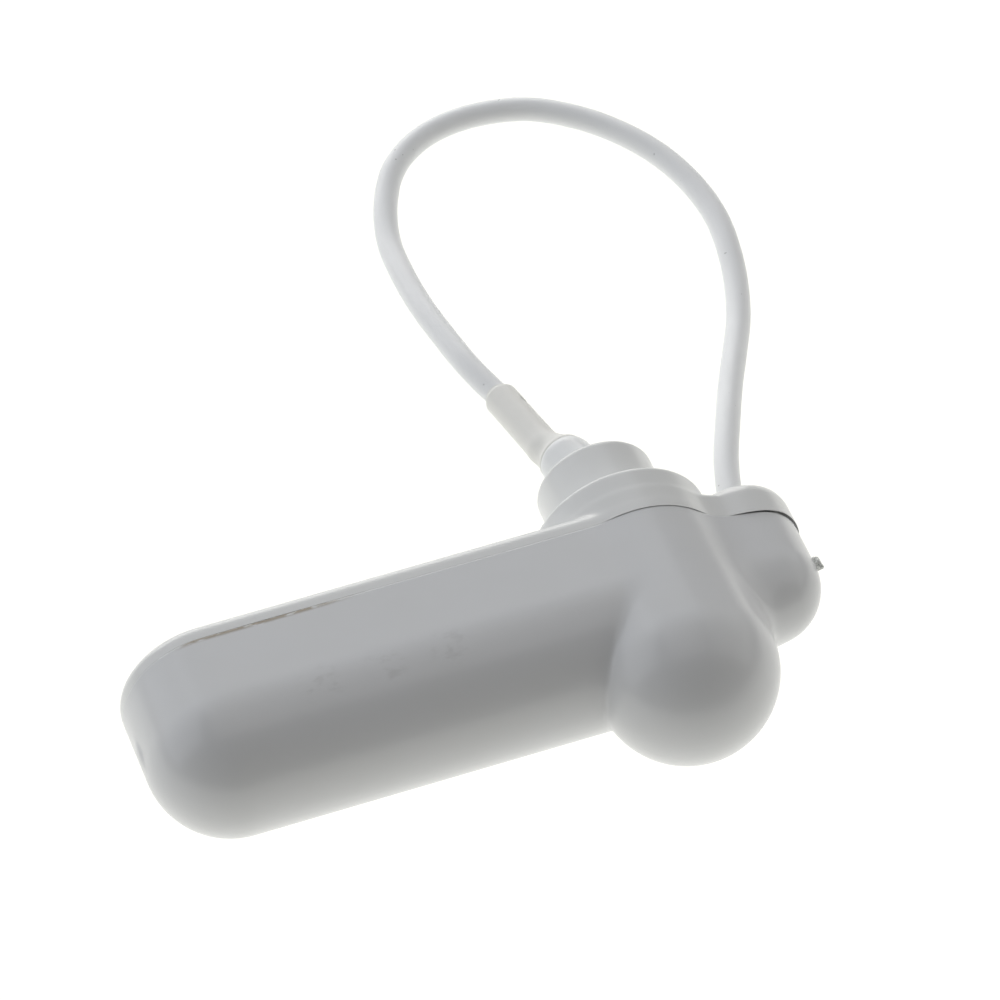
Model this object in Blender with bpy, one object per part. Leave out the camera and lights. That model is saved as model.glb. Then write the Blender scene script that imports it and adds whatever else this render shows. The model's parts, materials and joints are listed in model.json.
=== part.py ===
"""Anti-theft lanyard tag: two moulded halves, a magnetic ball lock, a resonant circuit and a cable loop.

Sizes are in millimetres and the meshes in metres. The tag itself is modelled in its own upright frame:
x runs along the arm towards the lock, z is the lock's axis and points out of the cover, and z = 0 is the
seam between the two halves. One parent empty then lays the tag on its side, so that +Z is up, +Y is the
lock's axis, and the origin lies on the table under the middle of the casing.
"""

from math import cos, pi, radians, sin, sqrt, tan

import bmesh
import bpy
from mathutils import Euler, Matrix, Vector

MM = 0.001

# Outside of the tag
ARM_LENGTH = 49.3           # lock axis to the arm's closed end
ARM_HALF_WIDTH = 8.0
ARM_WALL = 6.7              # straight side wall below the seam; the bottom is a full round
LOCK_RADIUS = 8.5
LOCK_WALL = 12.9            # straight wall below the seam; a half ball closes it
ANCHOR_X = 10.5
ANCHOR_Y = 1.45
ANCHOR_RADIUS = 5.2
ANCHOR_WALL = 4.9
WAIST_RADIUS = 3.5          # concave corner between the lock and the anchor
WAIST_DEPTH = 6.0
COVER_HEIGHT = 2.1          # cover over the arm
COVER_EDGE = 1.4
WAIST_HEIGHT = 2.7
ANCHOR_HEIGHT = 3.7
ANCHOR_EDGE = 0.8
PAD_HEIGHT = 5.3            # raised round pad over the lock
PAD_EDGE = 0.4
BOSS_RADIUS = 5.65
BOSS_HEIGHT = 12.0
BOSS_EDGE = 0.45

# Walls and gaps
SHELL = 1.6
ROOF = 1.5                  # cover thickness over the lock and the anchor
SEAM_GAP = 0.1
FIT_GAP = 0.1
OVERLAP = 1.0               # how far a cutter or a joined solid runs past a face
ANCHOR_CAVITY = 3.0
LIP_DEPTH = 1.2             # locating lip of the cover, inside the arm
LIP_THICKNESS = 0.7
LIP_END = -10.0

# Ball lock, on the lock's axis
PIN_RADIUS = 0.9
PIN_TIP = -6.0
PIN_POINT = 1.4
PIN_IN_HEAD = 3.0
PIN_GROOVES = (-1.8, -0.6, 0.6, 1.8)
GROOVE_DEPTH = 0.15
GROOVE_WIDTH = 0.5
BORE_RADIUS = 1.15
BALL_RADIUS = 1.0
BALL_GAP = 0.05             # ball to pin
BALL_COUNT = 3
CONE_HALF_ANGLE = radians(12.0)
CONE_TOP = 2.4
CONE_BOTTOM = -3.2
CONE_CLEARANCE = 0.09       # ball to cone
BELL_RADIUS = 5.8
BELL_TOP = PAD_HEIGHT - ROOF - 0.2
BELL_BOTTOM = -9.0
SKIRT_RADIUS = 5.0
CARRIER_TOP = 1.6
CARRIER_RADIUS = 2.0
WINDOW_RADIUS = 1.1
FLANGE_TOP = -3.6
FLANGE_THICKNESS = 0.8
FLANGE_RADIUS = 4.5
SPRING_RADIUS = 3.2
SPRING_WIRE = 0.3
SPRING_TURNS = 4
RETAINER_THICKNESS = 0.9
LEDGE_RADIUS = 5.0
LEDGE_THICKNESS = 1.4

# Plug: a head on the pin, and a sleeve over the cable's end that leans away from the lock's axis
HEAD_BASE = BOSS_HEIGHT + 0.2
SLEEVE_END = 16.4           # along the leaning axis, from the head's base
SLEEVE_RADIUS = 1.65
SLEEVE_BORE = 1.35
SLEEVE_BORE_DEPTH = 8.2
CRIMP_LENGTH = 3.2
CRIMP_RADIUS = 1.2
LEAN = Vector((-0.231, 0.152, 0.961)).normalized()
LEAN_START = 2.6            # length over which the head bends from the lock's axis to the lean

# Cable
CABLE_RADIUS = 1.2
CABLE_HOLE_X = 11.1
CABLE_HOLE_RADIUS = 1.4
CABLE_POINT_SPACING = 4.8
FERRULE_RADIUS = 2.3
FERRULE_BOTTOM = -2.0
# Route of the cable's centre in the part's own frame, from inside the anchor to the plug's sleeve
CABLE_ROUTE = (
    (27.9, 2.2, 7.05), (27.9, 5.3, 7.05), (27.9, 8.4, 7.05),
    (28.5, 12, 7), (30, 17, 6.5), (32, 22, 5.5), (34.5, 28, 4), (37, 33.5, 2.5), (39, 38, 1.6),
    (40.5, 42.5, 1.3), (41.5, 47, 1.3), (42, 52, 1.3), (41.5, 57, 1.3), (40, 62, 1.3), (37.5, 66.5, 1.3),
    (34, 70.5, 1.3), (29.5, 73.5, 1.3), (24, 74.5, 1.3), (19, 73.5, 1.3), (15, 70.5, 1.3), (12.5, 66, 1.3),
    (11, 60.5, 1.6), (10.5, 54.5, 2.8), (10.5, 48.5, 4), (11, 42.5, 5.1), (11.5, 38.5, 5.7),
    (12.2, 35.4, 5.9),
)
CABLE_IN_SLEEVE = (SLEEVE_END, 14.4, 12.0)      # stations on the plug's leaning axis

# Resonant circuit in the arm
ROD_DEPTH = -6.6
ROD_RADIUS = 3.0
ROD_START = -44.5
ROD_END = -11.5
FORMER_START = -42.5
FORMER_END = -14.0
FORMER_RADIUS = 3.6
FORMER_FLANGE = 5.5
FORMER_FLANGE_THICKNESS = 0.8
WINDING_RADIUS = 4.8
CAPACITOR_RADIUS = 2.2
CAPACITOR_START = -46.6
CAPACITOR_THICKNESS = 1.2
LEAD_RADIUS = 0.2
LEAD_SPACING = 1.2
PAD_LENGTH = 8.0
PAD_HALF_WIDTH = 1.6
PAD_TOP = -11.6
PAD_BOTTOM = -12.7
FOAM_CENTRES = (-34.0, -20.0)

# Mesh fineness
ROUND_STEPS = 48
SMALL_STEPS = 24
DOME_STEPS = 8
EDGE_STEPS = 3

# Where the tag lies: the lock's axis at the seam, in the part's own frame
LOCK_X = (ARM_LENGTH - ANCHOR_X - ANCHOR_RADIUS) / 2
SEAM_Y = (LOCK_WALL + LOCK_RADIUS - BOSS_HEIGHT) / 2
ON_ITS_SIDE = Euler((-pi / 2, 0, 0))


# Scene and materials

def clear_scene():
    for obj in list(bpy.data.objects):
        bpy.data.objects.remove(obj, do_unlink=True)


def make_material(name, colour, roughness, metallic=0.0):
    material = bpy.data.materials.new(name)
    material.use_nodes = True
    shader = material.node_tree.nodes["Principled BSDF"]
    shader.inputs["Base Color"].default_value = (*colour, 1.0)
    shader.inputs["Roughness"].default_value = roughness
    shader.inputs["Metallic"].default_value = metallic
    return material


def make_empty(name, location, rotation=(0, 0, 0), parent=None):
    empty = bpy.data.objects.new(name, None)
    empty.location = Vector(location) * MM
    empty.rotation_euler = rotation
    empty.parent = parent
    bpy.context.collection.objects.link(empty)
    return empty


def add_object(name, bm, parent, material=None, location=(0, 0, 0), rotation=(0, 0, 0)):
    """Turn a bmesh in millimetres into an object, with its faces pointing out."""
    bmesh.ops.remove_doubles(bm, verts=bm.verts, dist=0.0005)
    bmesh.ops.recalc_face_normals(bm, faces=bm.faces)
    bmesh.ops.scale(bm, vec=(MM, MM, MM), verts=bm.verts)
    mesh = bpy.data.meshes.new(name)
    bm.to_mesh(mesh)
    bm.free()
    mesh.shade_smooth()
    mesh.set_sharp_from_angle(angle=radians(35))
    obj = bpy.data.objects.new(name, mesh)
    obj.location = Vector(location) * MM
    obj.rotation_euler = rotation
    obj.parent = parent
    if material:
        mesh.materials.append(material)
    bpy.context.collection.objects.link(obj)
    return obj


# Shapes

def loft(rings, closed=False, cap=True):
    """Join rings of points, each with the same count, by faces; close the ends or join last to first."""
    bm = bmesh.new()
    loops = [[bm.verts.new(point) for point in ring] for ring in rings]
    pairs = list(zip(loops, loops[1:] + loops[:1])) if closed else list(zip(loops, loops[1:]))
    for lower, upper in pairs:
        for i in range(len(lower)):
            j = (i + 1) % len(lower)
            bm.faces.new((lower[i], lower[j], upper[j], upper[i]))
    if cap and not closed:
        bm.faces.new(loops[0])
        bm.faces.new(loops[-1])
    bmesh.ops.remove_doubles(bm, verts=bm.verts, dist=0.0005)
    return bm


def circle(radius, z, steps, centre=(0.0, 0.0)):
    angles = [2 * pi * i / steps for i in range(steps)]
    return [(centre[0] + radius * cos(a), centre[1] + radius * sin(a), z) for a in angles]


def turned(profile, steps=ROUND_STEPS, closed=False):
    """Turn a profile of (radius, z) points about z; an open profile is capped at both ends."""
    return loft([circle(radius, z, steps) for radius, z in profile], closed=closed)


def arm_ring(radius, z, steps=DOME_STEPS * 3):
    """Long round-ended outline, with one end on the lock's axis and one in the arm's closed end."""
    far = ARM_HALF_WIDTH - ARM_LENGTH
    half_turn = [pi * i / steps for i in range(steps + 1)]
    near_end = [(radius * sin(a), -radius * cos(a), z) for a in half_turn]
    far_end = [(far - radius * sin(a), radius * cos(a), z) for a in half_turn]
    return near_end + far_end


def quarter_round(start_radius, start_z, radius, direction):
    """(radius, z) points of an edge or dome that turns from a straight wall to the axis or the top."""
    steps = DOME_STEPS if radius > 2 else EDGE_STEPS
    angles = [pi / 2 * i / steps for i in range(1, steps + 1)]
    return [(start_radius - radius * (1 - cos(a)), start_z + direction * radius * sin(a)) for a in angles]


def domed_profile(radius, wall, top):
    """A round wall closed below by a half ball."""
    return [(radius, top), (radius, -wall)] + quarter_round(radius, -wall, radius, -1)


def disc_profile(radius, bottom, top, edge):
    """A round plate with a rounded upper edge."""
    return [(radius, bottom), (radius, top - edge)] + quarter_round(radius, top - edge, edge, 1)


def arm_solid(radius, top):
    profile = [(radius, top), (radius, -ARM_WALL)] + quarter_round(radius, -ARM_WALL, radius, -1)
    return loft([arm_ring(max(r, 0.0001), z) for r, z in profile])


def waist_outline():
    """Outline of the bridge between the lock and the anchor, with a concave arc on each side."""
    span = sqrt(ANCHOR_X ** 2 + ANCHOR_Y ** 2)
    along = Vector((ANCHOR_X, ANCHOR_Y)) / span
    across = Vector((-along.y, along.x))
    to_lock = LOCK_RADIUS + WAIST_RADIUS
    to_anchor = ANCHOR_RADIUS + WAIST_RADIUS
    reach = (to_lock ** 2 - to_anchor ** 2 + span ** 2) / (2 * span)
    offset = sqrt(to_lock ** 2 - reach ** 2)
    inset = 0.995                                   # keeps the bridge just inside both round walls
    points = []
    for side in (1, -1):
        centre = along * reach + across * offset * side
        first = -centre.normalized() * WAIST_RADIUS
        last = (Vector((ANCHOR_X, ANCHOR_Y)) - centre).normalized() * WAIST_RADIUS
        arc = [centre + first.lerp(last, i / 6).normalized() * WAIST_RADIUS for i in range(7)]
        arc = [arc[0] * inset] + arc + [along * span + (arc[-1] - along * span) * inset]
        points += arc if side == 1 else arc[::-1]
    half = len(points) // 2
    return [Vector((0, 0))] + points[:half] + [along * span] + points[half:]


def waist_solid(bottom, top):
    outline = waist_outline()
    return loft([[(p.x, p.y, z) for p in outline] for z in (bottom, top)])


def box(low, high):
    bm = bmesh.new()
    bmesh.ops.create_cube(bm, size=1.0)
    size = Vector(high) - Vector(low)
    middle = (Vector(high) + Vector(low)) / 2
    bmesh.ops.scale(bm, vec=size, verts=bm.verts)
    bmesh.ops.translate(bm, vec=middle, verts=bm.verts)
    return bm


def swept(stations, steps=SMALL_STEPS, closed=False):
    """Round section carried along stations of (centre, direction, radius)."""
    rings = []
    for centre, direction, radius in stations:
        turn = Vector((0, 0, 1)).rotation_difference(direction).to_matrix()
        rings.append([centre + turn @ Vector(point) for point in circle(radius, 0.0, steps)])
    return loft(rings, closed=closed)


def combine(target, name, bm, operation, parent, location=(0, 0, 0), rotation=(0, 0, 0)):
    """Join a solid to an object or cut it away; the solid itself is only a guide."""
    guide = add_object(f"{target.name}_{name}", bm, parent, location=location, rotation=rotation)
    guide.hide_render = True
    guide.display_type = "WIRE"
    modifier = target.modifiers.new(name, "BOOLEAN")
    modifier.operation = operation
    modifier.object = guide
    modifier.solver = "EXACT"


# Casing and cover

def make_lower_casing(tag, material):
    casing = add_object("lower_casing", turned(domed_profile(LOCK_RADIUS, LOCK_WALL, 0.0)), tag, material)
    anchor_place = (ANCHOR_X, ANCHOR_Y, 0)
    anchor = domed_profile(ANCHOR_RADIUS, ANCHOR_WALL, 0.0)
    combine(casing, "arm", arm_solid(ARM_HALF_WIDTH, 0.0), "UNION", tag)
    combine(casing, "anchor", turned(anchor), "UNION", tag, location=anchor_place)
    combine(casing, "waist", waist_solid(-WAIST_DEPTH, 0.0), "UNION", tag)
    lock_cavity = domed_profile(LOCK_RADIUS - SHELL, LOCK_WALL, OVERLAP)
    anchor_cavity = domed_profile(ANCHOR_CAVITY, ANCHOR_WALL, OVERLAP)
    combine(casing, "lock_cavity", turned(lock_cavity), "DIFFERENCE", tag)
    combine(casing, "arm_cavity", arm_solid(ARM_HALF_WIDTH - SHELL, OVERLAP), "DIFFERENCE", tag)
    combine(casing, "anchor_cavity", turned(anchor_cavity), "DIFFERENCE", tag, location=anchor_place)
    ledge_top = BELL_BOTTOM - RETAINER_THICKNESS - 2 * FIT_GAP
    ledge_outside = LOCK_RADIUS - SHELL / 2
    ledge = [(LEDGE_RADIUS, ledge_top), (ledge_outside, ledge_top),
             (ledge_outside, ledge_top - LEDGE_THICKNESS), (LEDGE_RADIUS, ledge_top - LEDGE_THICKNESS)]
    combine(casing, "ledge", turned(ledge, closed=True), "UNION", tag)


def make_top_cover(tag, material):
    plate = [(ARM_HALF_WIDTH, SEAM_GAP), (ARM_HALF_WIDTH, COVER_HEIGHT - COVER_EDGE)]
    plate += quarter_round(ARM_HALF_WIDTH, COVER_HEIGHT - COVER_EDGE, COVER_EDGE, 1)
    cover = add_object("top_cover", loft([arm_ring(r, z) for r, z in plate]), tag, material)
    anchor_place = (ANCHOR_X, ANCHOR_Y, 0)
    pad = disc_profile(LOCK_RADIUS, SEAM_GAP, PAD_HEIGHT, PAD_EDGE)
    boss = disc_profile(BOSS_RADIUS, PAD_HEIGHT - OVERLAP, BOSS_HEIGHT, BOSS_EDGE)
    anchor = disc_profile(ANCHOR_RADIUS, SEAM_GAP, ANCHOR_HEIGHT, ANCHOR_EDGE)
    combine(cover, "pad", turned(pad), "UNION", tag)
    combine(cover, "boss", turned(boss), "UNION", tag)
    combine(cover, "anchor", turned(anchor), "UNION", tag, location=anchor_place)
    combine(cover, "waist", waist_solid(SEAM_GAP, WAIST_HEIGHT), "UNION", tag)
    lip_outer = ARM_HALF_WIDTH - SHELL - 1.5 * FIT_GAP
    lip = [(lip_outer, COVER_HEIGHT / 2), (lip_outer, -LIP_DEPTH),
           (lip_outer - LIP_THICKNESS, -LIP_DEPTH), (lip_outer - LIP_THICKNESS, COVER_HEIGHT / 2)]
    combine(cover, "lip", loft([arm_ring(r, z) for r, z in lip], closed=True), "UNION", tag)
    lip_cut = box((LIP_END, -ARM_HALF_WIDTH, -LIP_DEPTH - OVERLAP), (LOCK_RADIUS, ARM_HALF_WIDTH, SEAM_GAP))
    combine(cover, "lip_end", lip_cut, "DIFFERENCE", tag)
    pad_cavity = [(LOCK_RADIUS - SHELL, -OVERLAP), (LOCK_RADIUS - SHELL, PAD_HEIGHT - ROOF)]
    anchor_cavity = [(ANCHOR_CAVITY, -OVERLAP), (ANCHOR_CAVITY, ANCHOR_HEIGHT - ROOF)]
    pin_bore = [(BORE_RADIUS, 0), (BORE_RADIUS, BOSS_HEIGHT + OVERLAP)]
    cable_hole = [(CABLE_HOLE_RADIUS, 0), (CABLE_HOLE_RADIUS, ANCHOR_HEIGHT + OVERLAP)]
    combine(cover, "pad_cavity", turned(pad_cavity), "DIFFERENCE", tag)
    combine(cover, "anchor_cavity", turned(anchor_cavity), "DIFFERENCE", tag, location=anchor_place)
    combine(cover, "pin_bore", turned(pin_bore, SMALL_STEPS), "DIFFERENCE", tag)
    hole_place = (CABLE_HOLE_X, ANCHOR_Y, 0)
    combine(cover, "cable_hole", turned(cable_hole, SMALL_STEPS), "DIFFERENCE", tag, location=hole_place)


# Ball lock

def cone_radius(z):
    ball_centre = PIN_RADIUS + BALL_GAP + BALL_RADIUS
    at_balls = ball_centre + (BALL_RADIUS + CONE_CLEARANCE) / cos(CONE_HALF_ANGLE)
    return at_balls - z * tan(CONE_HALF_ANGLE)


def make_clutch_bell(tag, material):
    profile = [(BORE_RADIUS, BELL_TOP), (BORE_RADIUS, CONE_TOP), (cone_radius(CONE_TOP), CONE_TOP),
               (cone_radius(CONE_BOTTOM), CONE_BOTTOM), (SKIRT_RADIUS, CONE_BOTTOM),
               (SKIRT_RADIUS, BELL_BOTTOM), (BELL_RADIUS, BELL_BOTTOM), (BELL_RADIUS, BELL_TOP)]
    add_object("clutch_bell", turned(profile, closed=True), tag, material)


def make_clutch_retainer(tag, material):
    top = BELL_BOTTOM - FIT_GAP
    bottom = top - RETAINER_THICKNESS
    profile = [(BORE_RADIUS, top), (BORE_RADIUS, bottom), (BELL_RADIUS, bottom), (BELL_RADIUS, top)]
    add_object("clutch_retainer", turned(profile, closed=True), tag, material)


def ball_angles():
    return [pi / 2 + 2 * pi * i / BALL_COUNT for i in range(BALL_COUNT)]


def make_ball_carrier(carrier_axis, material):
    flange_bottom = FLANGE_TOP - FLANGE_THICKNESS
    profile = [(BORE_RADIUS, CARRIER_TOP), (BORE_RADIUS, flange_bottom), (FLANGE_RADIUS, flange_bottom),
               (FLANGE_RADIUS, FLANGE_TOP), (CARRIER_RADIUS, FLANGE_TOP), (CARRIER_RADIUS, CARRIER_TOP)]
    carrier = add_object("ball_carrier", turned(profile, closed=True), carrier_axis, material)
    window = [(WINDOW_RADIUS, FIT_GAP), (WINDOW_RADIUS, CARRIER_RADIUS + OVERLAP)]
    for i, angle in enumerate(ball_angles(), 1):
        combine(carrier, f"window_{i}", turned(window, SMALL_STEPS), "DIFFERENCE", carrier_axis,
                rotation=(0, pi / 2, angle))


def make_balls(carrier_axis, material):
    distance = PIN_RADIUS + BALL_GAP + BALL_RADIUS
    for i, angle in enumerate(ball_angles(), 1):
        bm = bmesh.new()
        bmesh.ops.create_uvsphere(bm, u_segments=16, v_segments=10, radius=BALL_RADIUS)
        place = (distance * cos(angle), distance * sin(angle), 0)
        add_object(f"clutch_ball_{i}", bm, carrier_axis, material, location=place)


def make_clutch_spring(tag, material):
    top = FLANGE_TOP - FLANGE_THICKNESS - FIT_GAP / 2 - SPRING_WIRE
    bottom = BELL_BOTTOM - FIT_GAP / 2 + SPRING_WIRE
    steps = SPRING_TURNS * 16
    stations = []
    for i in range(steps + 1):
        angle = 2 * pi * SPRING_TURNS * i / steps
        centre = Vector((SPRING_RADIUS * cos(angle), SPRING_RADIUS * sin(angle),
                         bottom + (top - bottom) * i / steps))
        direction = Vector((-sin(angle), cos(angle), 0))
        stations.append((centre, direction, SPRING_WIRE))
    add_object("clutch_spring", upright_sections(stations, 6), tag, material)


def upright_sections(stations, sides):
    """Round section carried round a coil, each section held upright so that it never twists."""
    rings = []
    for centre, direction, radius in stations:
        outward = direction.cross(Vector((0, 0, 1)))
        upward = Vector((0, 0, 1))
        angles = [2 * pi * i / sides for i in range(sides)]
        rings.append([centre + outward * radius * cos(a) + upward * radius * sin(a) for a in angles])
    return loft(rings)


# Plug

def plug_station(length):
    """Centre and direction of the plug's bent axis, at a length from the head's base."""
    bend = min(length / LEAN_START, 1.0)
    direction = Vector((0, 0, 1)).lerp(LEAN, bend).normalized()
    centre = Vector((0, 0, HEAD_BASE - BOSS_HEIGHT)) + LEAN * length
    return centre, direction


def make_lock_pin(plug_axis, material):
    profile = [(0.0001, PIN_TIP), (PIN_RADIUS, PIN_TIP + PIN_POINT)]
    for groove in PIN_GROOVES:
        half = GROOVE_WIDTH / 2
        profile += [(PIN_RADIUS, groove - half), (PIN_RADIUS - GROOVE_DEPTH, groove - half / 2),
                    (PIN_RADIUS - GROOVE_DEPTH, groove + half / 2), (PIN_RADIUS, groove + half)]
    profile += [(PIN_RADIUS, HEAD_BASE + PIN_IN_HEAD), (0.0001, HEAD_BASE + PIN_IN_HEAD)]
    bm = turned(profile, SMALL_STEPS)
    bmesh.ops.translate(bm, vec=(0, 0, -BOSS_HEIGHT), verts=bm.verts)
    add_object("lock_pin", bm, plug_axis, material)


def make_plug_head(plug_axis, material):
    outline = ((0.0, 2.2), (0.35, 2.45), (2.4, 2.55), (3.6, 2.6), (4.3, 2.45), (4.5, 2.1))
    stations = [(*plug_station(length), radius) for length, radius in outline]
    head = add_object("plug_head", swept(stations), plug_axis, material)
    socket_radius = PIN_RADIUS + FIT_GAP / 2
    socket_depth = HEAD_BASE - BOSS_HEIGHT + PIN_IN_HEAD + FIT_GAP
    socket = turned([(socket_radius, -OVERLAP), (socket_radius, socket_depth)], SMALL_STEPS)
    combine(head, "pin_socket", socket, "DIFFERENCE", plug_axis)


def make_cable_sleeve(plug_axis, material):
    outline = ((4.6, 2.1), (5.0, 2.05), (5.5, 1.9), (6.2, 1.75), (7.2, SLEEVE_RADIUS), (11.0, SLEEVE_RADIUS),
               (15.9, SLEEVE_RADIUS), (16.25, 1.55), (SLEEVE_END, 1.45), (SLEEVE_END, SLEEVE_BORE),
               (SLEEVE_BORE_DEPTH, SLEEVE_BORE))
    stations = [(*plug_station(length), radius) for length, radius in outline]
    add_object("cable_sleeve", swept(stations), plug_axis, material)


def make_crimp_ferrule(plug_axis, material):
    start = SLEEVE_BORE_DEPTH + FIT_GAP
    outline = ((start, CRIMP_RADIUS), (start + CRIMP_LENGTH, CRIMP_RADIUS))
    stations = [(*plug_station(length), radius) for length, radius in outline]
    add_object("crimp_ferrule", swept(stations), plug_axis, material)


# Cable and its anchor

def smooth_path(points, spacing):
    """Points at even spacing on a smooth curve through the given points."""
    points = [Vector(p) for p in points]
    padded = [2 * points[0] - points[1]] + points + [2 * points[-1] - points[-2]]
    fine = []
    for p0, p1, p2, p3 in zip(padded, padded[1:], padded[2:], padded[3:]):
        for i in range(20):
            t = i / 20
            fine.append(0.5 * (2 * p1 + (p2 - p0) * t + (2 * p0 - 5 * p1 + 4 * p2 - p3) * t ** 2
                               + (3 * p1 - p0 - 3 * p2 + p3) * t ** 3))
    fine.append(points[-1])
    lengths = [0.0]
    for a, b in zip(fine, fine[1:]):
        lengths.append(lengths[-1] + (b - a).length)
    count = round(lengths[-1] / spacing)
    result = []
    k = 0
    for i in range(count + 1):
        wanted = lengths[-1] * i / count
        while k < len(fine) - 2 and lengths[k + 1] < wanted:
            k += 1
        part = (wanted - lengths[k]) / (lengths[k + 1] - lengths[k])
        result.append(fine[k].lerp(fine[k + 1], part))
    return result


def tube(name, points, radius, material, resolution, parent=None):
    curve = bpy.data.curves.new(name, "CURVE")
    curve.dimensions = "3D"
    curve.bevel_depth = radius * MM
    curve.bevel_resolution = resolution
    curve.use_fill_caps = True
    spline = curve.splines.new("POLY")
    spline.points.add(len(points) - 1)
    for spline_point, point in zip(spline.points, points):
        spline_point.co = (*(Vector(point) * MM), 1.0)
    curve.materials.append(material)
    obj = bpy.data.objects.new(name, curve)
    obj.parent = parent
    bpy.context.collection.objects.link(obj)
    return obj


def make_lanyard_cable(material):
    lay_down = Matrix.Translation((LOCK_X, SEAM_Y, LOCK_RADIUS)) @ ON_ITS_SIDE.to_matrix().to_4x4()
    in_sleeve = []
    for length in CABLE_IN_SLEEVE:
        centre, _ = plug_station(length)
        in_sleeve.append(lay_down @ (centre + Vector((0, 0, BOSS_HEIGHT))))
    route = list(CABLE_ROUTE) + in_sleeve
    tube("lanyard_cable", smooth_path(route, CABLE_POINT_SPACING), CABLE_RADIUS, material, 2)


def make_anchor_ferrule(tag, material):
    top = ANCHOR_HEIGHT - ROOF - 2 * FIT_GAP
    inner = CABLE_RADIUS + FIT_GAP
    profile = [(inner, top), (inner, FERRULE_BOTTOM), (FERRULE_RADIUS, FERRULE_BOTTOM), (FERRULE_RADIUS, top)]
    add_object("anchor_ferrule", turned(profile, SMALL_STEPS, closed=True), tag, material,
               location=(CABLE_HOLE_X, ANCHOR_Y, 0))


# Resonant circuit

def along_arm(profile, closed=False, steps=ROUND_STEPS // 2):
    """Turn a profile of (radius, x) points about the rod's axis."""
    bm = turned(profile, steps, closed)
    bmesh.ops.rotate(bm, verts=bm.verts, cent=(0, 0, 0), matrix=Matrix.Rotation(pi / 2, 3, "Y"))
    bmesh.ops.translate(bm, verts=bm.verts, vec=(0, 0, ROD_DEPTH))
    return bm


def make_resonant_circuit(tag, materials):
    rod = [(ROD_RADIUS, ROD_START), (ROD_RADIUS, ROD_END)]
    add_object("ferrite_rod", along_arm(rod), tag, materials["ferrite"])
    inner = ROD_RADIUS + FIT_GAP
    left = FORMER_START + FORMER_FLANGE_THICKNESS
    right = FORMER_END - FORMER_FLANGE_THICKNESS
    former = [(inner, FORMER_START), (FORMER_FLANGE, FORMER_START), (FORMER_FLANGE, left),
              (FORMER_RADIUS, left), (FORMER_RADIUS, right), (FORMER_FLANGE, right),
              (FORMER_FLANGE, FORMER_END), (inner, FORMER_END)]
    add_object("coil_former", along_arm(former, closed=True), tag, materials["nylon"])
    start = left + FIT_GAP
    end = right - FIT_GAP
    winding = [(FORMER_RADIUS + FIT_GAP, start), (WINDING_RADIUS, start),
               (WINDING_RADIUS, end), (FORMER_RADIUS + FIT_GAP, end)]
    add_object("coil_winding", along_arm(winding, closed=True), tag, materials["copper"])
    capacitor_end = CAPACITOR_START + CAPACITOR_THICKNESS
    capacitor = [(CAPACITOR_RADIUS, CAPACITOR_START), (CAPACITOR_RADIUS, capacitor_end)]
    add_object("tuning_capacitor", along_arm(capacitor), tag, materials["ceramic"])
    over_flange = ROD_DEPTH + FORMER_FLANGE + 0.35
    lead = ((-40.4, ROD_DEPTH + WINDING_RADIUS + 0.35), (-41.2, over_flange), (-43.2, over_flange),
            (-45.4, -2.4), (-46.0, ROD_DEPTH + CAPACITOR_RADIUS + 0.1))
    for i, y in enumerate((-LEAD_SPACING, LEAD_SPACING), 1):
        tube(f"coil_lead_{i}", [(x, y, z) for x, z in lead], LEAD_RADIUS, materials["copper"], 1, tag)
    for i, centre in enumerate(FOAM_CENTRES, 1):
        pad = box((centre - PAD_LENGTH / 2, -PAD_HALF_WIDTH, PAD_BOTTOM),
                  (centre + PAD_LENGTH / 2, PAD_HALF_WIDTH, PAD_TOP))
        add_object(f"foam_pad_{i}", pad, tag, materials["foam"])


def make_materials():
    return {
        "casing": make_material("casing_plastic", (0.62, 0.63, 0.65), 0.3),
        "cover": make_material("cover_plastic", (0.68, 0.69, 0.70), 0.3),
        "plug": make_material("plug_plastic", (0.74, 0.75, 0.76), 0.35),
        "sleeve": make_material("sleeve_plastic", (0.71, 0.71, 0.68), 0.45),
        "cable": make_material("cable_pvc", (0.76, 0.77, 0.79), 0.4),
        "steel": make_material("steel", (0.62, 0.62, 0.63), 0.25, 1.0),
        "ferrite": make_material("ferrite", (0.06, 0.06, 0.065), 0.6),
        "nylon": make_material("nylon", (0.82, 0.81, 0.77), 0.5),
        "copper": make_material("enamelled_copper", (0.55, 0.23, 0.1), 0.35, 1.0),
        "ceramic": make_material("ceramic", (0.62, 0.36, 0.12), 0.4),
        "foam": make_material("foam", (0.85, 0.84, 0.8), 0.9),
    }


def main():
    clear_scene()
    materials = make_materials()
    tag = make_empty("tag_frame", (LOCK_X, SEAM_Y, LOCK_RADIUS), ON_ITS_SIDE)
    carrier_axis = make_empty("carrier_axis", (0, 0, 0), parent=tag)
    plug_axis = make_empty("plug_axis", (0, 0, BOSS_HEIGHT), parent=tag)
    make_lower_casing(tag, materials["casing"])
    make_top_cover(tag, materials["cover"])
    make_clutch_bell(tag, materials["steel"])
    make_clutch_retainer(tag, materials["steel"])
    make_ball_carrier(carrier_axis, materials["steel"])
    make_balls(carrier_axis, materials["steel"])
    make_clutch_spring(tag, materials["steel"])
    make_lock_pin(plug_axis, materials["steel"])
    make_plug_head(plug_axis, materials["plug"])
    make_cable_sleeve(plug_axis, materials["sleeve"])
    make_crimp_ferrule(plug_axis, materials["steel"])
    make_anchor_ferrule(tag, materials["steel"])
    make_lanyard_cable(materials["cable"])
    make_resonant_circuit(tag, materials)


main()
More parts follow.
